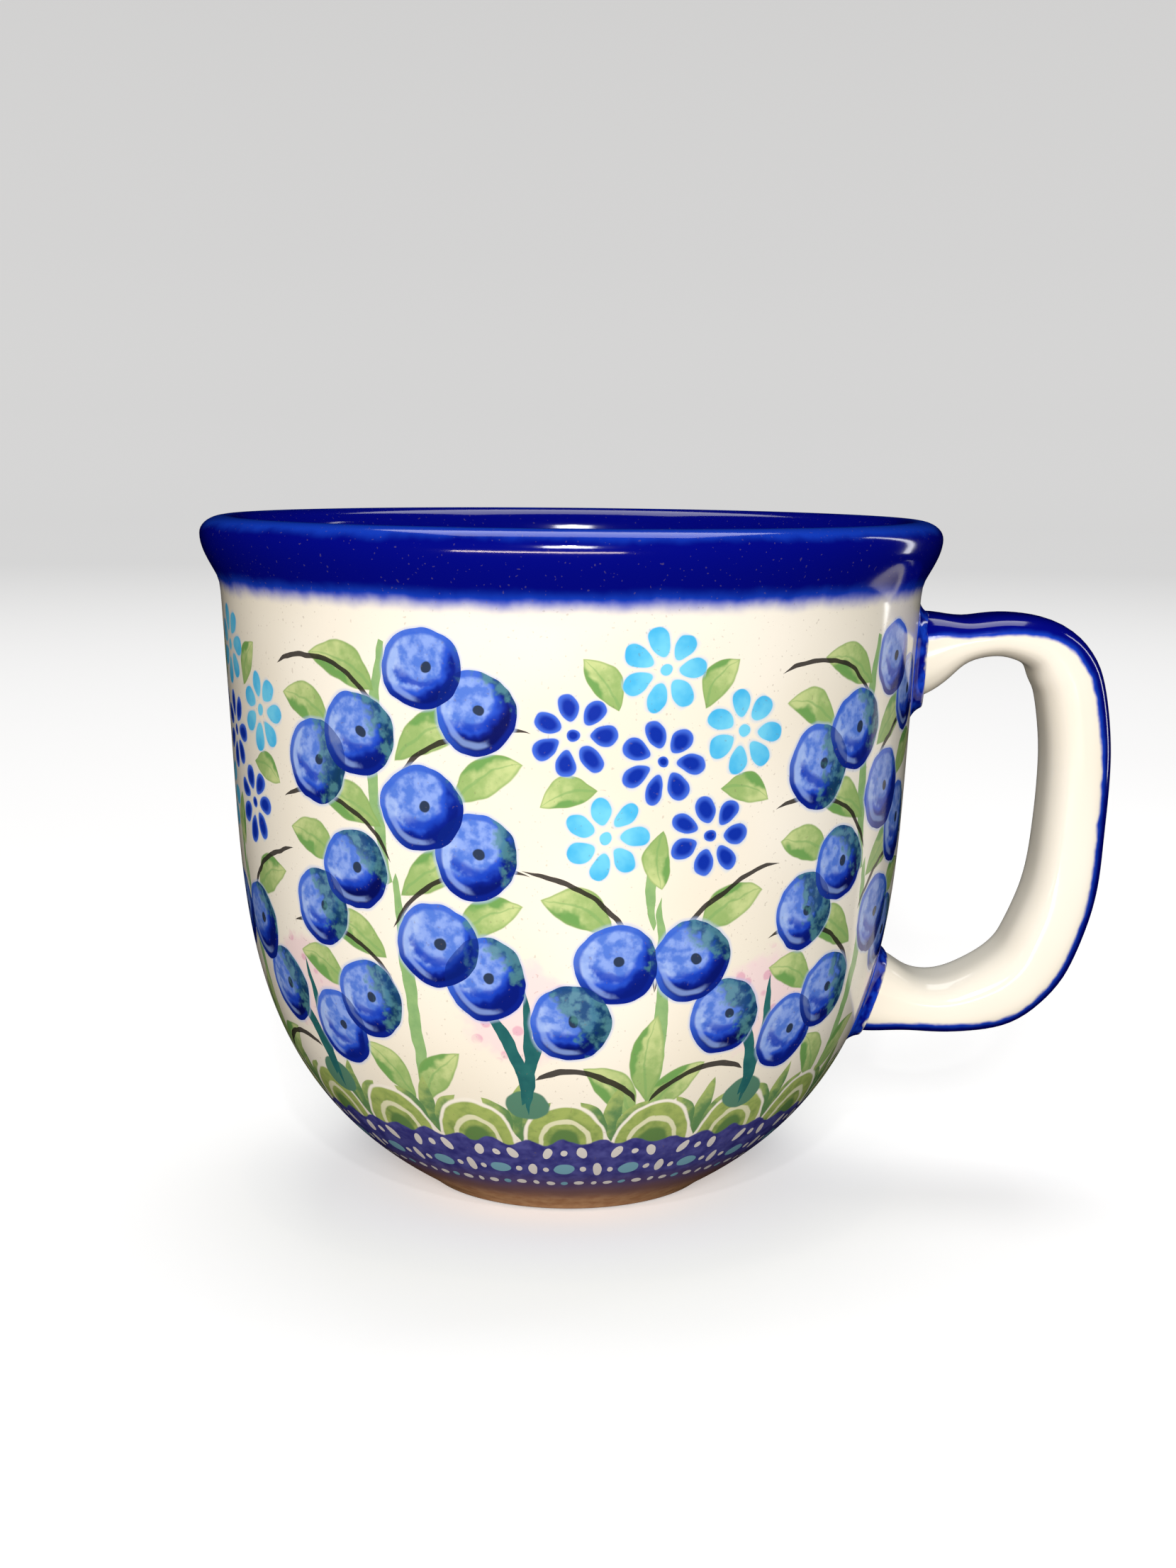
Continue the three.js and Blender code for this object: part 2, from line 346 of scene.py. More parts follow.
def pull_handle():
    """The handle: a rounded section pulled along the strap's line, with its thickness."""
    line = smooth_line(strap_stations(), STRAP_RINGS)
    deselect()
    bpy.ops.mesh.primitive_plane_add(size=1, location=(0, 0, 0))
    piece = bpy.context.object
    piece.name = piece.data.name = "handle_strap"
    bpy.ops.object.mode_set(mode="EDIT")
    bpy.ops.mesh.select_all(action="SELECT")
    bpy.ops.mesh.bevel(offset=0.36, segments=5, affect="VERTICES", offset_type="OFFSET")
    bpy.ops.mesh.select_all(action="SELECT")
    bpy.ops.transform.resize(value=(line[0].z * MM, STRAP_WIDTH * MM, 1), center_override=(0, 0, 0))
    bpy.ops.object.mode_set(mode="OBJECT")
    section = len(piece.data.vertices)
    headings = []
    for before, after in zip(line[:1] + line[:-1], line[1:] + line[-1:]):
        headings.append(math.atan2(after.y - before.y, after.x - before.x))
    bpy.ops.object.mode_set(mode="EDIT")
    bpy.ops.mesh.select_all(action="SELECT")
    centre = Vector((0, 0, 0))
    for number, (point, heading) in enumerate(zip(line, headings)):
        goal = Vector(((MUG_X + point.x) * MM, 0, point.y * MM))
        if number:
            # The section lies flat, takes its new thickness and stands up along the line again
            bpy.ops.mesh.extrude_region_move(TRANSFORM_OT_translate={"value": (0, 0, 0)})
            swing(headings[number - 1] - math.pi / 2, centre)
            thicker = point.z / line[number - 1].z
            bpy.ops.transform.resize(value=(thicker, 1, 1), center_override=centre)
        swing(math.pi / 2 - heading, centre)
        bpy.ops.transform.translate(value=goal - centre)
        centre = goal
    bpy.ops.mesh.select_all(action="SELECT")
    bpy.ops.mesh.fill_holes(sides=0)
    bpy.ops.mesh.select_all(action="SELECT")
    bpy.ops.mesh.normals_make_consistent(inside=False)
    bpy.ops.object.mode_set(mode="OBJECT")
    measure_strap(piece, line, headings, section)
    smooth = piece.modifiers.new("smoothing", "SUBSURF")
    smooth.levels = smooth.render_levels = 1
    finish_modifiers(piece)
    bpy.ops.object.shade_smooth()
    return piece


def swing(angle, centre):
    """Turns the selection about the y axis through the centre."""
    bpy.ops.transform.rotate(value=-angle, orient_axis="Y", center_override=centre)


def measure_strap(piece, line, headings, section):
    """Depth below the strap's outer face, and length along it, in millimetres, for the painter."""
    mesh = piece.data
    sheet = mesh.uv_layers.new(name="Strap")
    along = [0]
    for here, after in zip(line, line[1:]):
        along.append(along[-1] + (after - here).xy.length)
    for loop in mesh.loops:
        ring = min(loop.vertex_index // section, len(line) - 1)
        point = mesh.vertices[loop.vertex_index].co / MM
        outward = Vector((-math.sin(headings[ring]), math.cos(headings[ring])))
        offset = Vector((point.x - MUG_X - line[ring].x, point.z - line[ring].y))
        sheet.data[loop.index].uv = (line[ring].z / 2 - offset.dot(outward), along[ring])


# Slip joints

SLIP_BEAD = 0.8
# Each ring of a bead: how far it stands out round the strap, and how high above the wall
BEAD_RINGS = ((-0.15, 2.0), (0.2, 1.15), (0.75, 0.55), (1.3, 0.2), (1.75, 0.0), (1.6, -0.7), (-0.4, -0.7))


def wall_at(outline, height):
    """Radius and outward direction of the outside wall at a height."""
    for below, above in zip(outline, outline[1:]):
        if below[1] <= height <= above[1]:
            break
    part = (height - below[1]) / (above[1] - below[1])
    outward = Vector((above[1] - below[1], below[0] - above[0])).normalized()
    return below[0] + part * (above[0] - below[0]), outward


def lute_joint(name, node):
    """A bead of slip where the strap meets the wall: a ring round the strap, laid on the curved wall."""
    low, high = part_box(node)
    middle = (low.z + high.z) / 2
    tall = (high.z - low.z) / MM - 2 * SLIP_BEAD
    wide = (high.y - low.y) / MM - 2 * SLIP_BEAD
    deselect()
    bpy.ops.mesh.primitive_plane_add(size=1, location=(0, 0, 0), rotation=(0, math.pi / 2, 0))
    piece = bpy.context.object
    piece.name = piece.data.name = name
    place_in_mesh(piece)
    bpy.ops.object.mode_set(mode="EDIT")
    bpy.ops.mesh.select_all(action="SELECT")
    bpy.ops.mesh.bevel(offset=0.36, segments=5, affect="VERTICES", offset_type="OFFSET")
    bpy.ops.mesh.select_all(action="SELECT")
    bpy.ops.mesh.delete(type="ONLY_FACE")
    bpy.ops.object.mode_set(mode="OBJECT")
    section = len(piece.data.vertices)
    bpy.ops.object.mode_set(mode="EDIT")
    bpy.ops.mesh.select_all(action="SELECT")
    size = (1, 1)
    for number, (proud, lift) in enumerate(BEAD_RINGS):
        goal = ((wide + 2 * proud) * MM, (tall + 2 * proud) * MM)
        if number:
            bpy.ops.mesh.extrude_edges_move(TRANSFORM_OT_translate={"value": (0, 0, 0)})
        bpy.ops.transform.resize(value=(1, goal[0] / size[0], goal[1] / size[1]), center_override=(0, 0, 0))
        size = goal
    bpy.ops.object.mode_set(mode="OBJECT")
    close_bead(piece, section)
    outline = body_outline()[1]
    ring_uv = piece.data.uv_layers.new(name="Bead")
    for loop in piece.data.loops:
        ring = loop.vertex_index // section
        ring_uv.data[loop.index].uv = (BEAD_RINGS[ring][1], BEAD_RINGS[ring][0])
    for vertex in piece.data.vertices:
        lift = BEAD_RINGS[vertex.index // section][1]
        height = middle / MM + vertex.co.z / MM
        radius, outward = wall_at(outline, height)
        turn = math.asin(vertex.co.y / MM / radius)
        reach = radius + lift * outward.x
        place = Vector((MUG_X + reach * math.cos(turn), reach * math.sin(turn), height + lift * outward.y))
        vertex.co = place * MM
    bpy.ops.object.mode_set(mode="EDIT")
    bpy.ops.mesh.select_all(action="SELECT")
    bpy.ops.mesh.normals_make_consistent(inside=False)
    bpy.ops.object.mode_set(mode="OBJECT")
    smooth = piece.modifiers.new("smoothing", "SUBSURF")
    smooth.levels = smooth.render_levels = 2
    finish_modifiers(piece)
    bpy.ops.object.shade_smooth()
    return piece


def close_bead(piece, section):
    """Bridges the last ring back to the first, so that the bead is a closed ring."""
    last = (len(BEAD_RINGS) - 1) * section
    bpy.ops.object.mode_set(mode="EDIT")
    bpy.ops.mesh.select_mode(type="EDGE")
    bpy.ops.mesh.select_all(action="DESELECT")
    bpy.ops.object.mode_set(mode="OBJECT")
    for edge in piece.data.edges:
        ends = edge.vertices
        edge.select = max(ends) < section or min(ends) >= last
    bpy.ops.object.mode_set(mode="EDIT")
    bpy.ops.mesh.bridge_edge_loops()
    bpy.ops.mesh.select_mode(type="VERT")
    bpy.ops.object.mode_set(mode="OBJECT")


# Paint

def colour(red, green, blue):
    """A colour from its usual 0 to 255 values, as Blender's linear one."""
    values = []
    for value in (red / 255, green / 255, blue / 255):
        values.append(value / 12.92 if value <= 0.04045 else ((value + 0.055) / 1.055) ** 2.4)
    return (*values, 1)


class Wire:
    """An output socket. Sums with it add Math nodes, and add_node makes any other node."""

    def __init__(self, tree, socket=None):
        self.tree = tree
        self.socket = socket

    def add_node(self, kind, settings, inputs, output=0):
        made = self.tree.nodes.new(kind)
        for name, value in settings.items():
            setattr(made, name, value)
        for key, value in inputs.items():
            if isinstance(value, Wire):
                self.tree.links.new(value.socket, made.inputs[key])
            else:
                made.inputs[key].default_value = value
        return Wire(self.tree, made.outputs[output])

    def maths(self, operation, *values):
        return self.add_node("ShaderNodeMath", {"operation": operation}, dict(enumerate(values)))

    def vector(self, operation, *values):
        gives_number = operation in ("LENGTH", "DOT_PRODUCT", "DISTANCE")
        settings = {"operation": operation}
        return self.add_node("ShaderNodeVectorMath", settings, dict(enumerate(values)), int(gives_number))

    def __add__(self, other):
        return self.maths("ADD", self, other)

    def __radd__(self, other):
        return self.maths("ADD", other, self)

    def __sub__(self, other):
        return self.maths("SUBTRACT", self, other)

    def __rsub__(self, other):
        return self.maths("SUBTRACT", other, self)

    def __mul__(self, other):
        return self.maths("MULTIPLY", self, other)

    def __rmul__(self, other):
        return self.maths("MULTIPLY", other, self)

    def __truediv__(self, other):
        return self.maths("DIVIDE", self, other)

    def __abs__(self):
        return self.maths("ABSOLUTE", self)

    def __lt__(self, other):
        return self.maths("LESS_THAN", self, other)

    def __gt__(self, other):
        return self.maths("GREATER_THAN", self, other)

    def __or__(self, other):
        return self.maths("MAXIMUM", self, other)

    def __and__(self, other):
        return self.maths("MINIMUM", self, other)

    def parts(self):
        return [self.vector("DOT_PRODUCT", self, axis) for axis in ((1, 0, 0), (0, 1, 0), (0, 0, 1))]

    def point(self, x, y):
        """A place on the unrolled wall. Its z is 1, so that one dot product turns and moves it."""
        return self.add_node("ShaderNodeCombineXYZ", {}, {0: x, 1: y, 2: 1})

    def wrapped(self, middle, width):
        """The distance from the nearest of the repeats, one at the middle and one every width."""
        return self.maths("WRAP", self - middle, width / 2, -width / 2)

    def rise(self, low, high):
        """A soft step from 0 at low to 1 at high."""
        settings = {"interpolation_type": "SMOOTHSTEP"}
        return self.add_node("ShaderNodeMapRange", settings, {0: self, 1: low, 2: high})

    def cover(self, over, where):
        """This colour with the other one laid over it, where the mask is 1."""
        settings = {"data_type": "RGBA"}
        return self.add_node("ShaderNodeMix", settings, {0: where, 6: self, 7: over}, 2)

    def shade(self, low, high):
        """A colour between two, by this value."""
        return self.add_node("ShaderNodeMix", {"data_type": "RGBA"}, {0: self, 6: low, 7: high}, 2)

    def swap(self, other, where):
        """This vector, or the other one where the mask is 1."""
        settings = {"data_type": "VECTOR", "clamp_factor": False}
        return self.add_node("ShaderNodeMix", settings, {0: where, 4: self, 5: other}, 1)

    def noise(self, scale, detail=2.0, output=0):
        settings = {"noise_dimensions": "3D"}
        return self.add_node(
            "ShaderNodeTexNoise", settings, {"Vector": self, "Scale": scale, "Detail": detail}, output)

    def motif(self, centre, half_sizes, tag=0):
        """The place in an upright motif with this centre and half sizes, tagged in z."""
        scale = [1 / size for size in half_sizes]
        shift = [-middle / size for middle, size in zip(centre, half_sizes)]
        return self.vector("MULTIPLY_ADD", self, (*scale, 0), (*shift, tag))

    def towards(self, centre, angle, size):
        """How far a place on the wall lies from the centre in one direction, in sizes."""
        across, up = math.cos(angle) / size, math.sin(angle) / size
        return self.vector("DOT_PRODUCT", self, (across, up, -across * centre[0] - up * centre[1]))

    def turned(self, centre, angle, half_sizes):
        """The place along and across a turned motif, in its half sizes."""
        along = self.towards(centre, angle, half_sizes[0])
        side = self.towards(centre, angle + math.pi / 2, half_sizes[1])
        return along, side


def new_glaze(name, roughness):
    """A glossy glaze to paint on."""
    material = bpy.data.materials.new(name)
    material.use_nodes = True
    tree = material.node_tree
    shader = tree.nodes["Principled BSDF"]
    shader.inputs["Roughness"].default_value = roughness
    shader.inputs["IOR"].default_value = 1.48
    return material, Wire(tree), shader


def plug(wire, shader, name):
    """Joins a wire to a socket of the shader."""
    wire.tree.links.new(wire.socket, shader.inputs[name])


def place_on(start):
    """The place on the piece, in millimetres."""
    space = start.add_node("ShaderNodeTexCoord", {}, {}, 3)
    place = space.vector("SCALE", space)
    place.socket.node.inputs["Scale"].default_value = 1 / MM
    return place


def ripple(start, shader, place):
    """The slight waviness and the fine orange-peel skin of a dipped glaze."""
    wave = place.noise(0.07, 1.0)
    skin = place.noise(0.9, 2.0)
    height = wave * 0.35 + skin * 0.012
    bump = start.add_node("ShaderNodeBump", {}, {"Strength": 0.6, "Distance": 0.001 * 0.5, "Height": height})
    plug(bump, shader, "Normal")


CREAM = colour(244, 241, 230)
CREAM_SHADE = colour(236, 231, 216)
COBALT = colour(3, 8, 126)
# Thin cobalt for the dip's thin edges, also used as the painted sheen over the lip's crest
COBALT_THIN_AND_SHEEN = colour(22, 66, 196)
CLAY = colour(205, 176, 140)
CLAY_DARK = colour(176, 140, 104)

# Decoration, in millimetres across and up the unrolled wall. Posies and berry sprays take turns
# round the mug, in whole repeats that stop short of the handle.
HANDLE_GAP = 20
REPEATS = 4
REPEAT = (ROUND - HANDLE_GAP) / REPEATS
FIELD_END = HANDLE_ACROSS - HANDLE_GAP / 2
FIELD_START = FIELD_END - REPEAT * REPEATS
POSY_AT = FIELD_START + REPEAT * 0.24
SPRAY_AT = FIELD_START + REPEAT * 0.74
TUFT_SPACING = REPEAT / 2
TUFT_AT = FIELD_START + REPEAT * 0.49
NOWHERE = (500, 500, 1)
# Each berry or flower carries its number, times this, in the third part of its place
TAG = 0.001
BERRY = 5.4
FOOT_CLAY_TOP = -10.2
BUSHES = 20

# A spray: nodes climb its stem, by turns left and right, with two berries and two leaves at each
SPRAY_NODES = 6
SPRAY_FOOT = 33
SPRAY_PITCH = 8.6

# A posy: a fan of berries, with a ring of flowers round one more above it
FAN_HEIGHT = 30
FAN_RADIUS = 11
FAN_ANGLES = (10, 63, 117, 170)
RING_HEIGHT = 65
RING_RADIUS = 11.3
RING_FLOWERS = 5
FLOWER = 5.4
DARK_FLOWERS = 3
PETALS = 7
LEAF_BEND = 0.45

# The border: a cell is drawn once and repeated round the foot
BORDER_CELLS = 24
BORDER_CELL = ROUND / BORDER_CELLS
BORDER_SCALLOPS = 2
BORDER_EDGE = 12.7
BORDER_TOP = 10.2
BORDER_MIDDLE = 6.2
BORDER_FOOT = 2.2

# Strokes: start, a point that each passes and end, across and up, and half width
TUFT = (
    (-0.3, 20, -1.2, 27, -4.8, 32.4, 0.9), (0.3, 20, 1.2, 27, 4.8, 32.4, 0.9),
    (0, 20, 0.7, 27.5, 0, 34.6, 0.8),
)
SPRAY_STALKS = ((0.5, 15, 2, 32, 0, 49, 0.9), (0, 49, -2, 64, 0.3, 79, 0.8))
POSY_STALKS = ((0, 14, 1.4, 30, 0, 46, 0.9), (0, 45, -1, 50, 0, 55, 0.7))
POSY_TWIGS = (
    (0, 36, 7.5, 47.6, 17, 51.6, 0.32), (0, 36, -7.5, 47.6, -17, 51.6, 0.32),
    (1, 20, 8, 24.6, 16, 23.6, 0.42), (-1, 20, -8, 24.6, -16, 23.6, 0.42),
)


def mirrored(strokes):
    """The strokes or leaves, and the same ones turned over about the middle."""
    other_side = []
    for stroke in strokes:
        *places, half_width = stroke
        turned_over = [-n if index % 2 == 0 else n for index, n in enumerate(places)]
        other_side.append((*turned_over, half_width))
    return list(strokes) + other_side


# The blades in a gap between two bushes, as leaves: foot, tip and half width
BLADES = [(0, 12.6, 0.4, 23, 1.5)] + mirrored([(0.6, 14, 5, 20.6, 1.4)])


def round_about(height, radius, degrees):
    """A place at an angle round a centre on the posy's middle line."""
    angle = math.radians(degrees)
    return radius * math.cos(angle), height + radius * math.sin(angle)


def spray_nodes():
    """Number, side and height of each node of a spray."""
    return [(k, 1 if k % 2 else -1, SPRAY_FOOT + SPRAY_PITCH * k) for k in range(SPRAY_NODES)]


def spray_berries():
    """Across, up, half width and half height of each berry, a near one and a far one at each node."""
    berries = []
    for number, side, height in spray_nodes():
        sway = math.sin(1.9 * number)
        size = BERRY + 0.25 * math.sin(2.3 * number)
        berries.append((side * 12 + sway * 0.5, height - 5 + sway, size * 0.96, size))
        berries.append((side * 5.2 + sway, height, size, size * 0.97))
    return berries


def spray_leaves():
    """Foot, tip and half width of each leaf: two fill the gap above each node's berries."""
    leaves = mirrored([(0.6, 19, 7.4, 27.4, 2.5)])
    for number, side, height in spray_nodes()[:-1]:
        sway = math.sin(2.6 * number)
        leaves.append((side, height + 6.4, side * 11.6, height + 11.2 + sway, 2.5))
        leaves.append((side * 8.6, height + 1.6, side * 17.4, height + 5.6 + sway, 2.4))
    return leaves


def spray_twigs():
    """A fine dark twig that sweeps out through the gap above each node's berries."""
    twigs = []
    for number, side, height in spray_nodes()[:-1]:
        rise = math.sin(2.6 * number)
        twigs.append((0, height + 1.6, side * 8, height + 8.6, side * 18.6, height + 8.8 + rise, 0.3))
    return twigs


def posy_berries():
    """The berries of the fan."""
    places = [round_about(FAN_HEIGHT, FAN_RADIUS, angle) for angle in FAN_ANGLES]
    return [(x, y, BERRY, BERRY * 0.97) for x, y in places]


def posy_leaves():
    """Leaves round the fan, and one between each two flowers of the ring."""
    leaves = mirrored([(0.5, 18, 8.6, 26, 2.5), (5.4, 44.6, 14.6, 48.8, 2.5)])
    leaves.append((0, 20, 0.4, 33, 2.5))
    for number in range(RING_FLOWERS):
        angle = 90 + (number + 0.5) * 360 / RING_FLOWERS
        foot = round_about(RING_HEIGHT, RING_RADIUS * 0.75, angle)
        tip = round_about(RING_HEIGHT, RING_RADIUS * 1.4, angle)
        leaves.append((*foot, *tip, 1.9))
    return leaves


def posy_flowers():
    """Across, up and both half widths of each flower; the dark ones come first."""
    ring = [round_about(RING_HEIGHT, RING_RADIUS, 90 + k * 360 / RING_FLOWERS) for k in range(RING_FLOWERS)]
    places = [(0, RING_HEIGHT)] + ring[1::2] + ring[0::2]
    return [(x, y, FLOWER, FLOWER) for x, y in places]


def arc_through(first, middle, last):
    """Centre and radius of the arc through three points, its facing, and the cosine of half its angle."""
    (ax, ay), (bx, by), (cx, cy) = first, middle, last
    twice = 2 * (ax * (by - cy) + bx * (cy - ay) + cx * (ay - by))
    squares = (ax * ax + ay * ay, bx * bx + by * by, cx * cx + cy * cy)
    x = (squares[0] * (by - cy) + squares[1] * (cy - ay) + squares[2] * (ay - by)) / twice
    y = (squares[0] * (cx - bx) + squares[1] * (ax - cx) + squares[2] * (bx - ax)) / twice
    radius = math.hypot(ax - x, ay - y)
    square_on = Vector((ay - cy, cx - ax)).normalized()
    if square_on.dot(Vector((bx - ax, by - ay))) < 0:
        square_on.negate()
    tip = square_on.dot(Vector((ax - x, ay - y))) / radius
    return (x, y), radius, math.atan2(square_on.y, square_on.x), tip


def brush_strokes(cell, strokes):
    """A mask of curved strokes with pointed ends."""
    mask = None
    for sx, sy, mx, my, ex, ey, half_width in strokes:
        centre, radius, facing, tip = arc_through((sx, sy), (mx, my), (ex, ey))
        away = abs(cell.vector("DISTANCE", cell, (*centre, 1)) - radius)
        forward = cell.towards(centre, facing, radius)
        full = tip + (1 - tip) * 0.35
        limit = cell.add_node("ShaderNodeMapRange", {}, {0: forward, 1: tip, 2: full, 3: 0, 4: half_width})
        stroke = away < limit
        mask = stroke if mask is None else mask | stroke
    return mask


def pick_round(cell, motifs, first_tag, chosen=None, nearest=None, overlap=None):
    """Goes through round motifs, later ones on top: the place in the top one and how many overlap."""
    for number, (x, y, wide, tall) in enumerate(motifs):
        tag = (first_tag + number) * TAG
        local = cell.motif((x, y), (wide, tall), tag)
        away = local.vector("LENGTH", local)
        inside = away < 1
        chosen = local if chosen is None else chosen.swap(local, inside)
        nearest = away if nearest is None else nearest & away
        overlap = inside if overlap is None else overlap + inside
    return chosen, nearest, overlap


def pick_leaves(cell, leaves, chosen=None, nearest=None):
    """Goes through pointed leaves, later ones on top. Each bends a little, towards its tip's side."""
    for fx, fy, tx, ty, half_width in leaves:
        centre = ((fx + tx) / 2, (fy + ty) / 2)
        angle = math.atan2(ty - fy, tx - fx)
        length = math.dist((fx, fy), (tx, ty)) / 2
        along, side = cell.turned(centre, angle, (length, half_width))
        bend = LEAF_BEND if tx > fx else -LEAF_BEND
        square = along * along
        bent = square.maths("MULTIPLY_ADD", square, bend, side) - bend * 0.4
        edge = abs(bent) + square
        local = cell.point(along, bent)
        chosen = local if chosen is None else chosen.swap(local, edge < 1)
        nearest = edge if nearest is None else nearest & edge
    return chosen, nearest


def paint_leaves(ground, grain, mottle, chosen, nearest):
    """Yellow-green leaves in thin watercolour, darker down one side and along the midrib."""
    along, side, flat = chosen.parts()
    pale = (along * 0.45 + mottle * 0.9).rise(0.2, 0.85)
    leaf = pale.shade(colour(150, 182, 112), colour(197, 213, 148))
    vein = (side * 0.8 + along * 0.5 - along * along * 0.6 + grain * 0.9).rise(0.65, 0.95)
    leaf = leaf.cover(colour(112, 162, 90), vein)
    midrib = (abs(side + grain * 0.3 - 0.15) + along * 0.05).rise(0.1, 0.02)
    leaf = leaf.cover(colour(128, 172, 104), midrib * 0.6)
    leaf = leaf.cover(colour(128, 166, 96), nearest.rise(0.78, 0.96) * 0.6)
    return ground.cover(leaf, nearest.rise(1.03, 0.93))


def chance(tag, seed):
    """A number from 0 to 1 that belongs to one berry."""
    return tag.maths("FRACT", tag * (seed / TAG))


def paint_berries(ground, grain, mottle, chosen, nearest, overlap):
    """A pale berry with a blue rim, a crescent of light, a navy underside, a dot and a mossy patch."""
    ground = ground.cover(colour(176, 196, 238), nearest.rise(1.1, 1.0) * 0.6)
    side, rise, tag = chosen.parts()
    away = chosen.vector("LENGTH", chosen)
    lean = chance(tag, 0.381) - 0.5
    x = side + rise * lean
    y = rise - side * lean
    berry = mottle.rise(0.36, 0.64).shade(colour(84, 124, 220), colour(138, 168, 240))
    berry = berry.cover(colour(176, 200, 245), (x * -0.8 - y * 0.2 + mottle * 0.7).rise(0.72, 1.05) * 0.8)
    under = chosen.vector("DISTANCE", chosen, (-0.28, 0.42, 0)) + grain * 0.36 - 0.18 + lean * 0.2
    berry = berry.cover(colour(42, 84, 208), under.rise(0.76, 0.92))
    smile = chosen.vector("DISTANCE", chosen, (0.02, 0.24, 0)) + mottle * 0.3
    curve = smile.rise(0.58, 0.7) * smile.rise(0.92, 0.8) * (y * -1).rise(0.0, 0.35)
    berry = berry.cover(colour(24, 62, 188), curve * 0.85)
    berry = berry.cover(colour(13, 36, 148), under.rise(0.9, 1.08))
    berry = berry.cover(colour(7, 13, 82), under.rise(1.0, 1.22) * (chance(tag, 0.577) * 0.6 + 0.4))
    gleam = away.rise(0.66, 0.74) * away.rise(0.88, 0.8) * (x * -0.8 - y * 0.6 + mottle * 0.4).rise(0.5, 0.8)
    berry = berry.cover(colour(146, 176, 240), gleam * 0.6)
    rim = (x * 0.5 - y * 0.8).rise(-0.8, 0.7).shade(colour(58, 102, 214), colour(12, 34, 140))
    berry = berry.cover(rim, away.rise(0.82, 0.9) * 0.9)
    lump = chosen.vector("DISTANCE", chosen, (0.1, 0.06, 0))
    berry = berry.cover(colour(46, 60, 86), lump.rise(0.15, 0.115))
    moss = (x * 0.7 + y * 0.35 + mottle * 1.1 + chance(tag, 0.733) * 0.9).rise(1.35, 1.6)
    mossy = mottle.rise(0.4, 0.62).shade(colour(24, 66, 92), colour(78, 134, 138))
    berry = berry.cover(mossy, moss * 0.8)
    berry = berry.cover(colour(12, 36, 128), (overlap > 1.5) * 0.6)
    return ground.cover(berry, nearest < 1)


def paint_flowers(ground, grain, cell):
    """Flowers of separate petals round a small heart, dark blue or sky blue."""
    chosen, nearest, overlap = pick_round(cell, posy_flowers(), 0)
    x, y, tag = chosen.parts()
    turn = y.maths("ARCTAN2", y, x) + tag * 900
    petal = abs((turn * (PETALS / (2 * math.pi))).wrapped(0, 1)) * (2 * math.pi / PETALS)
    sideways = petal * nearest / (nearest * 0.235 + 0.075)
    lengthways = (nearest - 0.655) / 0.335
    squares = sideways * sideways + lengthways * lengthways
    edge = squares.maths("SQRT", squares)
    heart = nearest / 0.14
    edge = edge & heart
    dark = tag < (DARK_FLOWERS - 0.5) * TAG
    deep = edge.rise(0.45, 0.95).shade(colour(16, 48, 168), colour(66, 108, 222))
    light = (grain * 0.6 + nearest * 0.5).rise(0.4, 0.9).shade(colour(116, 210, 244), colour(70, 182, 236))
    petals = light.cover(deep, dark)
    ground = ground.cover(colour(176, 205, 242), edge.rise(1.35, 0.95) * 0.5 & (nearest < 1))
    return ground.cover(petals, edge.rise(1.04, 0.94))


def paint_foliage(ground, grain, mottle, across, up):
    """The row of rounded, ringed bushes that grows out of the border, with blades in the gaps."""
    bush_width = ROUND / BUSHES
    blades = across.point(across.wrapped(bush_width / 2, bush_width), up)
    chosen, nearest = pick_leaves(blades, BLADES)
    along, side, flat = chosen.parts()
    blade = (mottle * 0.9 + along * 0.25 + side * 0.2).rise(0.25, 0.8)
    blade = blade.shade(colour(96, 138, 88), colour(164, 186, 112))
    ground = ground.cover(blade, nearest.rise(1.03, 0.93))
    cell = across.point(across.wrapped(0, bush_width), up)
    dome = cell.motif((0, 12.3), (6.4, 7.2))
    away = dome.vector("LENGTH", dome)
    ground = ground.cover(CREAM, away.rise(1.1, 1.05))
    leafy = (mottle * 0.9 + grain * 0.4 + away * 0.3).rise(0.45, 1.05)
    hill = leafy.shade(colour(112, 142, 78), colour(164, 184, 104))
    hill = hill.cover(colour(96, 132, 76), away.rise(0.46, 0.34))
    ground = ground.cover(hill, away.rise(1.02, 0.97))
    ring = abs(away - 0.66 + grain * 0.08).rise(0.08, 0.04)
    return ground.cover(colour(224, 226, 192), ring)


def border_drops():
    """Across, up, half width, half height and turn of each pale drop in a cell of the border."""
    drops = [(0, BORDER_TOP, 0.65, 0.65, 0)]
    for side in (-1, 1):
        drops.append((side * BORDER_CELL * 0.25, BORDER_TOP, 0.8, 1.35, side * 0.5))
        drops.append((side * BORDER_CELL * 0.5, BORDER_MIDDLE, 0.85, 1.5, 0))
        drops.append((side * BORDER_CELL * 0.29, BORDER_MIDDLE, 0.6, 0.6, 0))
        drops.append((side * BORDER_CELL * 0.25, BORDER_FOOT, 1.0, 0.6, 0))
        drops.append((side * BORDER_CELL * 0.5, BORDER_FOOT, 0.6, 0.6, 0))
    return drops


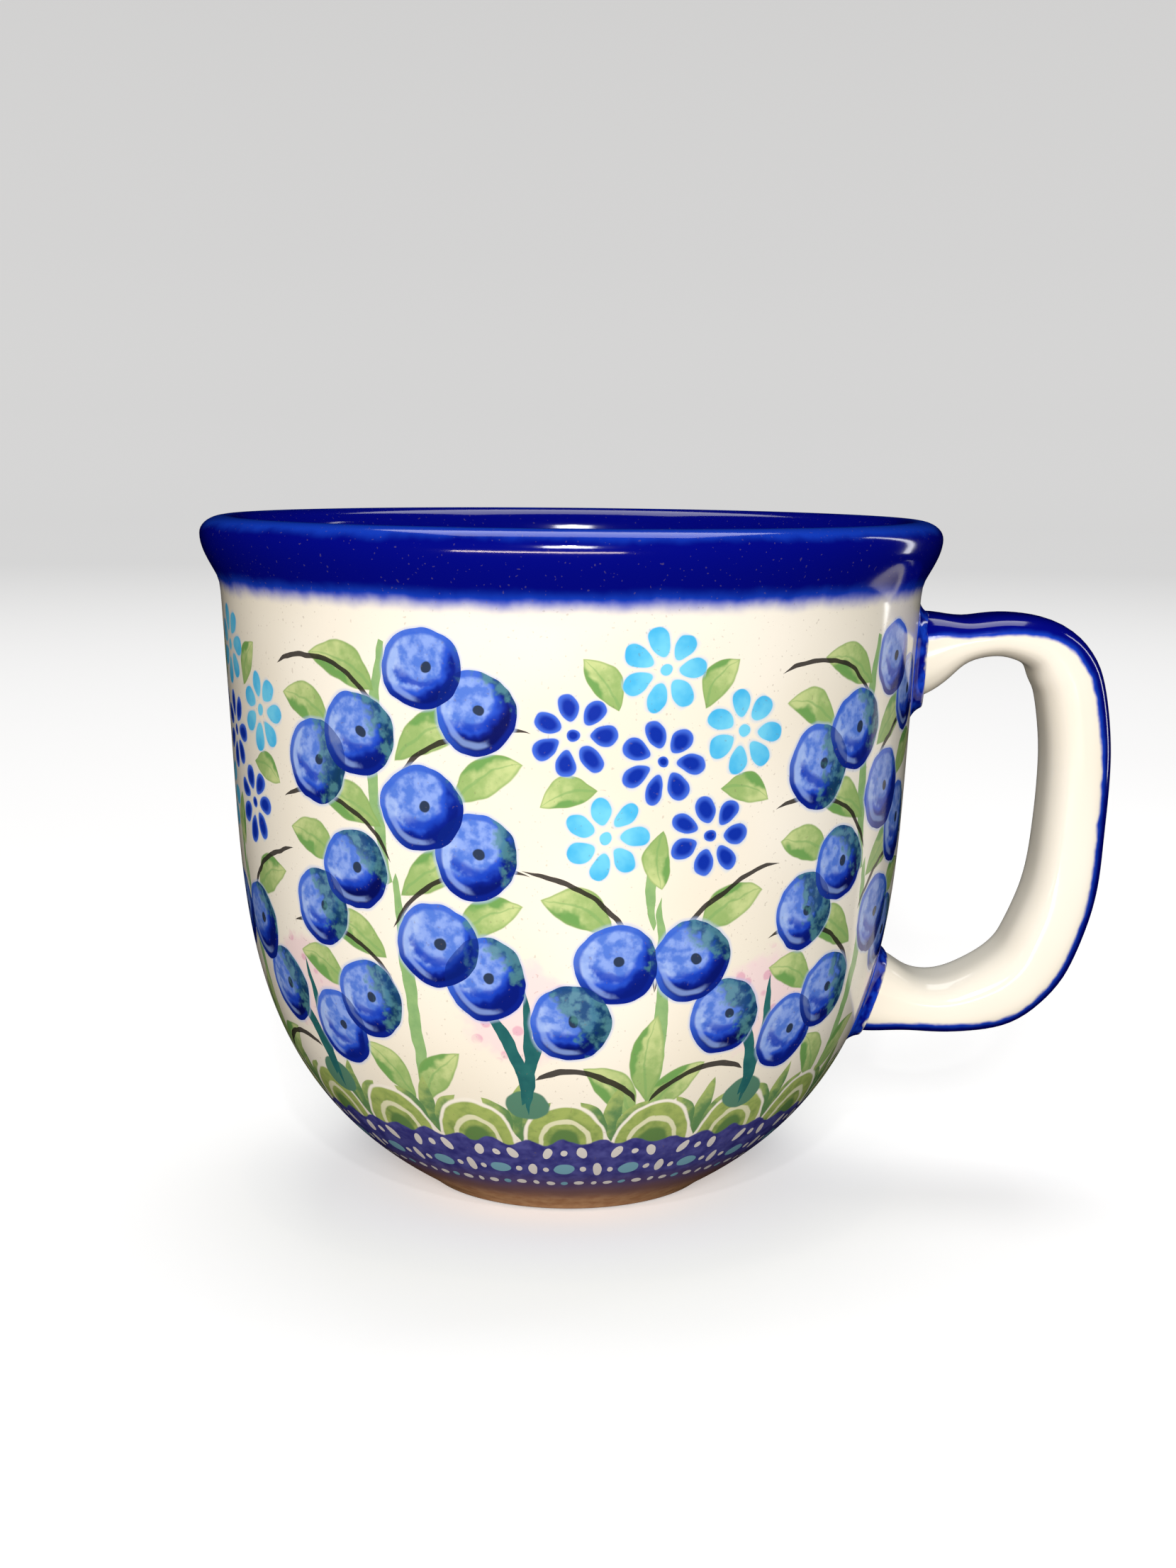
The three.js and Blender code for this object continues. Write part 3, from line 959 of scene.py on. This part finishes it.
def paint_border(ground, grain, mottle, across, up):
    """A purple-blue band with a scalloped top, pale drops and teal ovals, browned towards its foot by a
    painted reflection of a table beneath.
    """
    cell = across.point(across.wrapped(0, BORDER_CELL), up)
    scallop = across.maths("COSINE", across * (2 * math.pi * BORDER_SCALLOPS / BORDER_CELL))
    top = BORDER_EDGE + scallop * 0.55 + grain * 0.8 - 0.4
    dye = (mottle * 0.5 + grain * 0.6).rise(0.35, 0.8).shade(colour(50, 50, 122), colour(84, 86, 158))
    band = (top - up).rise(-0.1, 0.25)
    ground = ground.cover(dye, band)
    # Painted reflection: the band turns brown towards its foot, where the glaze mirrors a table beneath.
    ground = ground.cover(colour(100, 80, 104), up.rise(6, 0) * 0.8)
    pale = None
    for x, y, wide, tall, angle in border_drops():
        along, side = cell.turned((x, y), angle, (wide, tall))
        away = along.maths("MULTIPLY_ADD", along, along, side * side)
        pale = away if pale is None else pale & away
    ground = ground.cover(colour(218, 216, 214), pale.rise(1.06, 0.94) & band)
    oval = cell.motif((0, BORDER_MIDDLE), (2.0, 1.25))
    dot = cell.motif((0, BORDER_FOOT), (0.8, 0.55))
    teal = oval.vector("LENGTH", oval) & dot.vector("LENGTH", dot)
    return ground.cover(colour(118, 168, 188), teal.rise(1.05, 0.95))


def painted_glaze():
    """The body's glaze, painted from the back of the pattern to the front."""
    material, start, shader = new_glaze("painted glaze", 0.09)
    rolled = start.add_node("ShaderNodeUVMap", {"uv_map": "Unrolled"}, {})
    place = place_on(start)
    grain = place.noise(0.5, 2.0)
    mottle = place.noise(0.75, 3.0)
    across, up, flat = rolled.parts()
    across = across + place.noise(0.19, 2.0) * 1.5 - 0.75
    up = up + place.noise(0.17, 2.0) * 1.5 - 0.75

    spotless = place.noise(0.03, 2.0).rise(0.35, 0.7).shade(CREAM, CREAM_SHADE)
    ground = spotless
    tuft = across.point(across.wrapped(TUFT_AT, TUFT_SPACING), up)
    ground = paint_blush(ground, grain, place, tuft)
    outside = 1 - (across > FIELD_START) * (across < FIELD_END)
    spray = across.point(across.wrapped(SPRAY_AT, REPEAT), up).swap(NOWHERE, outside)
    posy = across.point(across.wrapped(POSY_AT, REPEAT), up).swap(NOWHERE, outside)

    stalks = brush_strokes(spray, SPRAY_STALKS) | brush_strokes(posy, POSY_STALKS)
    ground = ground.cover(mottle.shade(colour(118, 164, 108), colour(160, 196, 132)), stalks)
    chosen, nearest = pick_leaves(spray, spray_leaves())
    chosen, nearest = pick_leaves(posy, posy_leaves(), chosen, nearest)
    ground = paint_leaves(ground, grain, mottle, chosen, nearest)
    ground = paint_foliage(ground, grain, mottle, across, up)
    ground = paint_tuft(ground, grain, tuft)

    twigs = brush_strokes(spray, spray_twigs()) | brush_strokes(posy, POSY_TWIGS)
    ground = ground.cover(colour(46, 41, 40), twigs * 0.95)
    ground = paint_flowers(ground, grain, posy)
    berries = spray_berries()
    chosen, nearest, overlap = pick_round(spray, berries, 0)
    chosen, nearest, overlap = pick_round(posy, posy_berries(), len(berries), chosen, nearest, overlap)
    ground = paint_berries(ground, grain, mottle, chosen, nearest, overlap)

    ground = paint_border(ground, grain, mottle, across, up)

    # Painted shade and painted reflection near the foot: brown under the border, then tan lower down, where
    # the glaze mirrors a table beneath.
    ground = ground.cover(colour(134, 100, 90), up.rise(2, -2) * 0.8)
    painted_warm_reflection = (mottle * 0.6 + grain * 0.5).rise(0.35, 0.75).shade(colour(190, 138, 100), colour(216, 168, 126))
    ground = ground.cover(painted_warm_reflection, up.rise(-1, -6))
    ground = paint_band(ground, grain, up)
    inside = up > 100
    ground = ground.cover(spotless, inside & (up > 104))
    bare = up < FOOT_CLAY_TOP
    clay = mottle.shade(CLAY, CLAY_DARK)
    ground = ground.cover(clay, bare)
    speck = place.noise(2.6, 0.0) > 0.79
    ground = ground.cover(colour(120, 104, 92), speck * 0.25)
    plug(ground, shader, "Base Color")
    plug(bare * 0.6 + 0.09 + mottle * 0.03, shader, "Roughness")
    ripple(start, shader, place)
    return material


def paint_blush(ground, grain, place, tuft):
    """Pale pink washes with rosy dots behind the tufts."""
    wash = tuft.motif((0, 33), (9, 8))
    away = wash.vector("LENGTH", wash)
    edge = (away + grain * 0.5).rise(1.25, 0.95)
    ground = ground.cover(colour(240, 221, 222), edge)
    dots = place.add_node("ShaderNodeTexVoronoi", {}, {"Vector": place, "Scale": 0.4, "Randomness": 0.9})
    return ground.cover(colour(228, 184, 200), (dots + grain * 0.3).rise(0.48, 0.36) & edge)


def paint_tuft(ground, grain, cell):
    """Three teal blades on a low mound."""
    mound = cell.motif((0, 19.4), (3.4, 2.6))
    away = mound.vector("LENGTH", mound)
    ground = ground.cover(colour(86, 132, 112), away.rise(1.04, 0.94))
    return ground.cover(grain.shade(colour(22, 78, 88), colour(52, 120, 116)), brush_strokes(cell, TUFT))


def paint_band(ground, grain, up):
    """The cobalt dip round the lip, thin and bright at its soft lower edge, with a painted sheen of lighter
    blue over the lip's crest.
    """
    edge = up + grain * 0.7
    ground = ground.cover(COBALT_THIN_AND_SHEEN, edge.rise(82.9, 85.4))
    ground = ground.cover(COBALT, edge.rise(84.4, 87.0))
    # Painted sheen: a lighter blue laid over the lip's crest.
    return ground.cover(COBALT_THIN_AND_SHEEN, edge.rise(92.2, 94) * edge.rise(97.5, 95.5) * 0.8)


def strap_glaze():
    """Cream glaze with the cobalt stripe that runs down the outside of the handle."""
    material, start, shader = new_glaze("striped glaze", 0.09)
    measured = start.add_node("ShaderNodeUVMap", {"uv_map": "Strap"}, {})
    place = place_on(start)
    depth, along, flat = measured.parts()
    grain = place.noise(0.4, 2.0)
    mottle = place.noise(0.75, 3.0)
    ground = place.noise(0.03, 2.0).rise(0.35, 0.7).shade(CREAM, CREAM_SHADE)
    reach = along.rise(2, 12) * -1.2 + along.rise(30, 45) * -0.4 + along.rise(95, 108) * 0.6 + 3.6
    over = depth - reach + grain * 0.8 - 0.4
    ground = ground.cover(COBALT_THIN_AND_SHEEN, over.rise(0.45, -0.15))
    ground = ground.cover(COBALT, over.rise(0.1, -0.9))
    plug(ground, shader, "Base Color")
    plug(mottle * 0.04 + 0.08, shader, "Roughness")
    ripple(start, shader, place)
    return material


def slip_glaze():
    """Cobalt slip that thins out to cream where it meets the strap."""
    material, start, shader = new_glaze("cobalt slip", 0.1)
    ring = start.add_node("ShaderNodeUVMap", {"uv_map": "Bead"}, {})
    place = place_on(start)
    lift, proud, flat = ring.parts()
    grain = place.noise(0.6, 2.0)
    dip = grain.rise(0.35, 0.7).shade(COBALT, COBALT_THIN_AND_SHEEN)
    edge = proud + grain * 0.8 - 0.4
    ground = dip.cover(COBALT_THIN_AND_SHEEN, edge.rise(1.2, 1.7))
    ground = ground.cover(CREAM, edge.rise(0.2, -0.15))
    plug(ground, shader, "Base Color")
    plug(grain * 0.04 + 0.08, shader, "Roughness")
    ripple(start, shader, place)
    return material


# Light and floor

CAMERA_LENS = 50.41
CAMERA_SPOT = (MUG_X + 2.57, -306.27, 101.96)
CAMERA_PITCH = 8.627
CAMERA_ROLL = 0.539
# The studio, in metres: the floor, then each ring's radius and height up the wall
FLOOR_RADIUS = 1.7
FLOOR_DROP = -0.0002
CURVED_WALL = ((1.95, 0.03), (2.15, 0.14), (2.27, 0.32), (2.32, 0.6), (2.32, 2.2))
PAPER_GLOW = 0.36
SKY_STRENGTH = 0.26


def set_camera():
    """A camera in front of the mug, a little above its lip and looking slightly down."""
    data = bpy.data.cameras.new("camera")
    camera = bpy.data.objects.new("camera", data)
    bpy.context.collection.objects.link(camera)
    data.lens = CAMERA_LENS
    data.sensor_width = 36
    spot = Matrix.Translation(Vector(CAMERA_SPOT) * MM)
    tilt = Matrix.Rotation(math.radians(90 - CAMERA_PITCH), 4, "X")
    roll = Matrix.Rotation(math.radians(CAMERA_ROLL), 4, "Z")
    camera.matrix_world = spot @ tilt @ roll
    data.clip_start = 0.01
    data.clip_end = 20
    bpy.context.scene.camera = camera


def add_softbox(name, spot, aim, size, power, tint=(1, 1, 1)):
    """A square lamp that the camera doesn't see."""
    data = bpy.data.lights.new(name, "AREA")
    data.shape = "RECTANGLE"
    data.size, data.size_y = size
    data.energy = power
    data.color = tint
    lamp = bpy.data.objects.new(name, data)
    bpy.context.collection.objects.link(lamp)
    lamp.visible_camera = False
    lamp.location = spot
    lamp.rotation_euler = (Vector(aim) - Vector(spot)).to_track_quat("-Z", "Y").to_euler()


def build_stage():
    """A round pale floor that curves up into a wall. The mug neither mirrors it nor is lit by it."""
    deselect()
    bpy.ops.mesh.primitive_circle_add(vertices=96, radius=FLOOR_RADIUS, fill_type="NGON")
    floor = bpy.context.object
    floor.name = floor.data.name = "studio_floor"
    bpy.ops.object.mode_set(mode="EDIT")
    bpy.ops.mesh.select_all(action="SELECT")
    bpy.ops.transform.translate(value=(0, 0, FLOOR_DROP))
    bpy.ops.mesh.select_mode(type="EDGE")
    bpy.ops.mesh.select_all(action="DESELECT")
    bpy.ops.mesh.select_non_manifold(extend=False)
    radius, height = FLOOR_RADIUS, 0
    for next_radius, next_height in CURVED_WALL:
        lift = (0, 0, next_height - height)
        bpy.ops.mesh.extrude_edges_move(TRANSFORM_OT_translate={"value": lift})
        grow = next_radius / radius
        bpy.ops.transform.resize(value=(grow, grow, 1), center_override=(0, 0, 0))
        radius, height = next_radius, next_height
    bpy.ops.mesh.select_mode(type="VERT")
    bpy.ops.mesh.select_all(action="SELECT")
    bpy.ops.mesh.normals_make_consistent(inside=True)
    bpy.ops.object.mode_set(mode="OBJECT")
    place_in_mesh(floor)
    bpy.ops.object.shade_smooth()
    floor.visible_glossy = False
    floor.visible_diffuse = False
    material = bpy.data.materials.new("studio paper")
    material.use_nodes = True
    paper = material.node_tree.nodes["Principled BSDF"]
    paper.inputs["Base Color"].default_value = (0.86, 0.855, 0.85, 1)
    paper.inputs["Roughness"].default_value = 0.95
    paper.inputs["Specular IOR Level"].default_value = 0
    paper.inputs["Emission Color"].default_value = (1, 1, 1, 1)
    paper.inputs["Emission Strength"].default_value = PAPER_GLOW
    floor.data.materials.append(material)


def light_studio():
    """Soft light from the front and above, with small lamps for the streaks in the glaze."""
    world = bpy.data.worlds.new("studio air")
    bpy.context.scene.world = world
    world.use_nodes = True
    sky = world.node_tree.nodes["Background"]
    sky.inputs["Color"].default_value = (1, 1, 1, 1)
    sky.inputs["Strength"].default_value = SKY_STRENGTH
    world.cycles_visibility.glossy = False
    add_softbox("key", (-0.02, -0.95, 0.42), (-0.01, 0, 0.05), (0.25, 0.25), 5.8)
    add_softbox("window", (0.32, 0.17, 0.16), (0.03, -0.03, 0.07), (0.03, 0.32), 0.16)
    add_softbox("flash", (-0.012, -0.42, 0.30), (-0.01, 0, 0.08), (0.02, 0.02), 0.3)
    add_softbox("top", (0, 0.5, 1.3), (0, 0, 0), (0.9, 0.9), 7)
    add_softbox("bounce", (-0.1, -0.55, 0.02), (-0.01, 0, 0.02), (0.5, 0.03), 1.4, (1, 0.8, 0.62))
    bpy.context.scene.view_settings.view_transform = "Standard"


def hand_over(piece, material, slot, *nodes):
    """Gives a piece its glaze, hangs it on the root and hides the nodes that it stands for."""
    piece.data.materials.clear()
    piece.data.materials.append(material)
    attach(piece, "root")
    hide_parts(*nodes)


set_camera()
build_stage()
light_studio()
body = turn_body()
hand_over(body, painted_glaze(), "glazed_body", "body")
handle = pull_handle()
hand_over(handle, strap_glaze(), "glazed_handle", "handle")
slip = slip_glaze()
for node in ("upper_slip_joint", "lower_slip_joint"):
    bead = lute_joint(node.replace("joint", "bead"), node)
    hand_over(bead, slip, "cobalt_slip", node)
